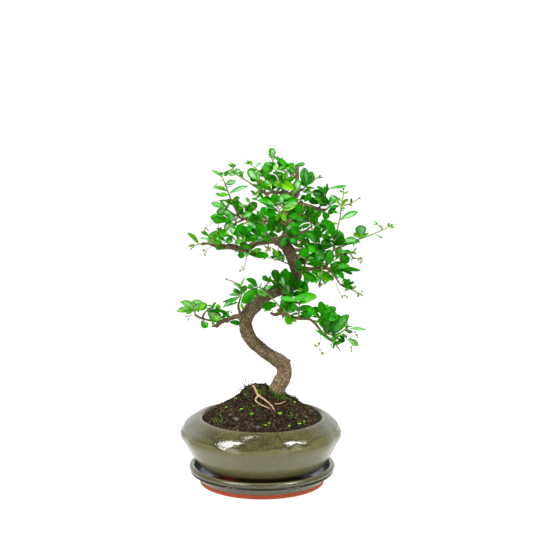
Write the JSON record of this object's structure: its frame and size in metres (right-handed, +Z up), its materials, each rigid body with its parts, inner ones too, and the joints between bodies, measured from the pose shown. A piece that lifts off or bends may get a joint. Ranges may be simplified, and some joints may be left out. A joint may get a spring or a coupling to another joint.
{
  "type": "fukien tea bonsai in its pot",
  "caption": "Small bonsai tree with an S-curved trunk and small glossy leaves, in a round lobed glazed bowl on a drip saucer.",
  "frame": {"origin": "middle of the saucer's flat underside, where it stands on the table", "axes": "+Z up, +X to the right and +Y away from the viewer, as seen in the picture"},
  "size_m": [0.2164, 0.1612, 0.3408],
  "materials": {
    "saucer": "gloss",
    "pot": "gloss",
    "drainage_mesh": "matte",
    "soil": "matte",
    "bark": "matte",
    "leaves": "satin"
  },
  "bodies": {
    "root": {"saucer": "saucer", "pot": "pot", "drainage_mesh": "drainage_mesh", "soil": "soil", "trunk_and_branches": "bark", "spray_low_left_tip": "leaves", "spray_low_left_middle": "leaves", "spray_low_left_under": "leaves", "spray_upright": "leaves", "spray_front_knot": "leaves", "spray_low_right_first": "leaves", "spray_low_right_second": "leaves", "spray_low_right_rise": "leaves", "spray_low_right_fan": "leaves", "spray_low_right_outer": "leaves", "spray_middle_pair": "leaves", "spray_middle_lobed": "leaves", "spray_middle_right_a": "leaves", "spray_middle_right_drop": "leaves", "spray_middle_right_b": "leaves", "spray_middle_right_long": "leaves", "spray_middle_right_round": "leaves", "spray_middle_right_end": "leaves", "spray_middle_right_top": "leaves", "spray_right_big": "leaves", "spray_tall_twig": "leaves", "spray_far_right_shoot": "leaves", "spray_right_upper_end": "leaves", "spray_right_upper_fan": "leaves", "spray_knot_top": "leaves", "spray_top_right": "leaves", "spray_top_twig": "leaves", "spray_lime_top": "leaves", "spray_light_top": "leaves", "spray_lime_front": "leaves", "spray_front_left_big": "leaves", "spray_front_right_big": "leaves", "spray_front_center": "leaves", "spray_left_shoot_tip": "leaves", "spray_left_fan_upper": "leaves", "spray_left_fan_middle": "leaves", "spray_left_fan_top": "leaves", "spray_left_low_fan": "leaves", "spray_left_tip": "leaves", "spray_left_knot": "leaves", "spray_left_main_peg": "leaves", "spray_left_main_top": "leaves", "spray_left_main_inner": "leaves", "spray_flower_twig": "leaves", "spray_back_high_fan": "leaves", "spray_back_middle_fan": "leaves", "spray_back_left_fan": "leaves", "spray_back_low_fan": "leaves", "spray_back_right_fan": "leaves", "spray_back_top_fan": "leaves", "spray_upper_left_tip": "leaves", "spray_upper_left_second": "leaves", "spray_upper_left_mass": "leaves"}
  },
  "joints": []
}
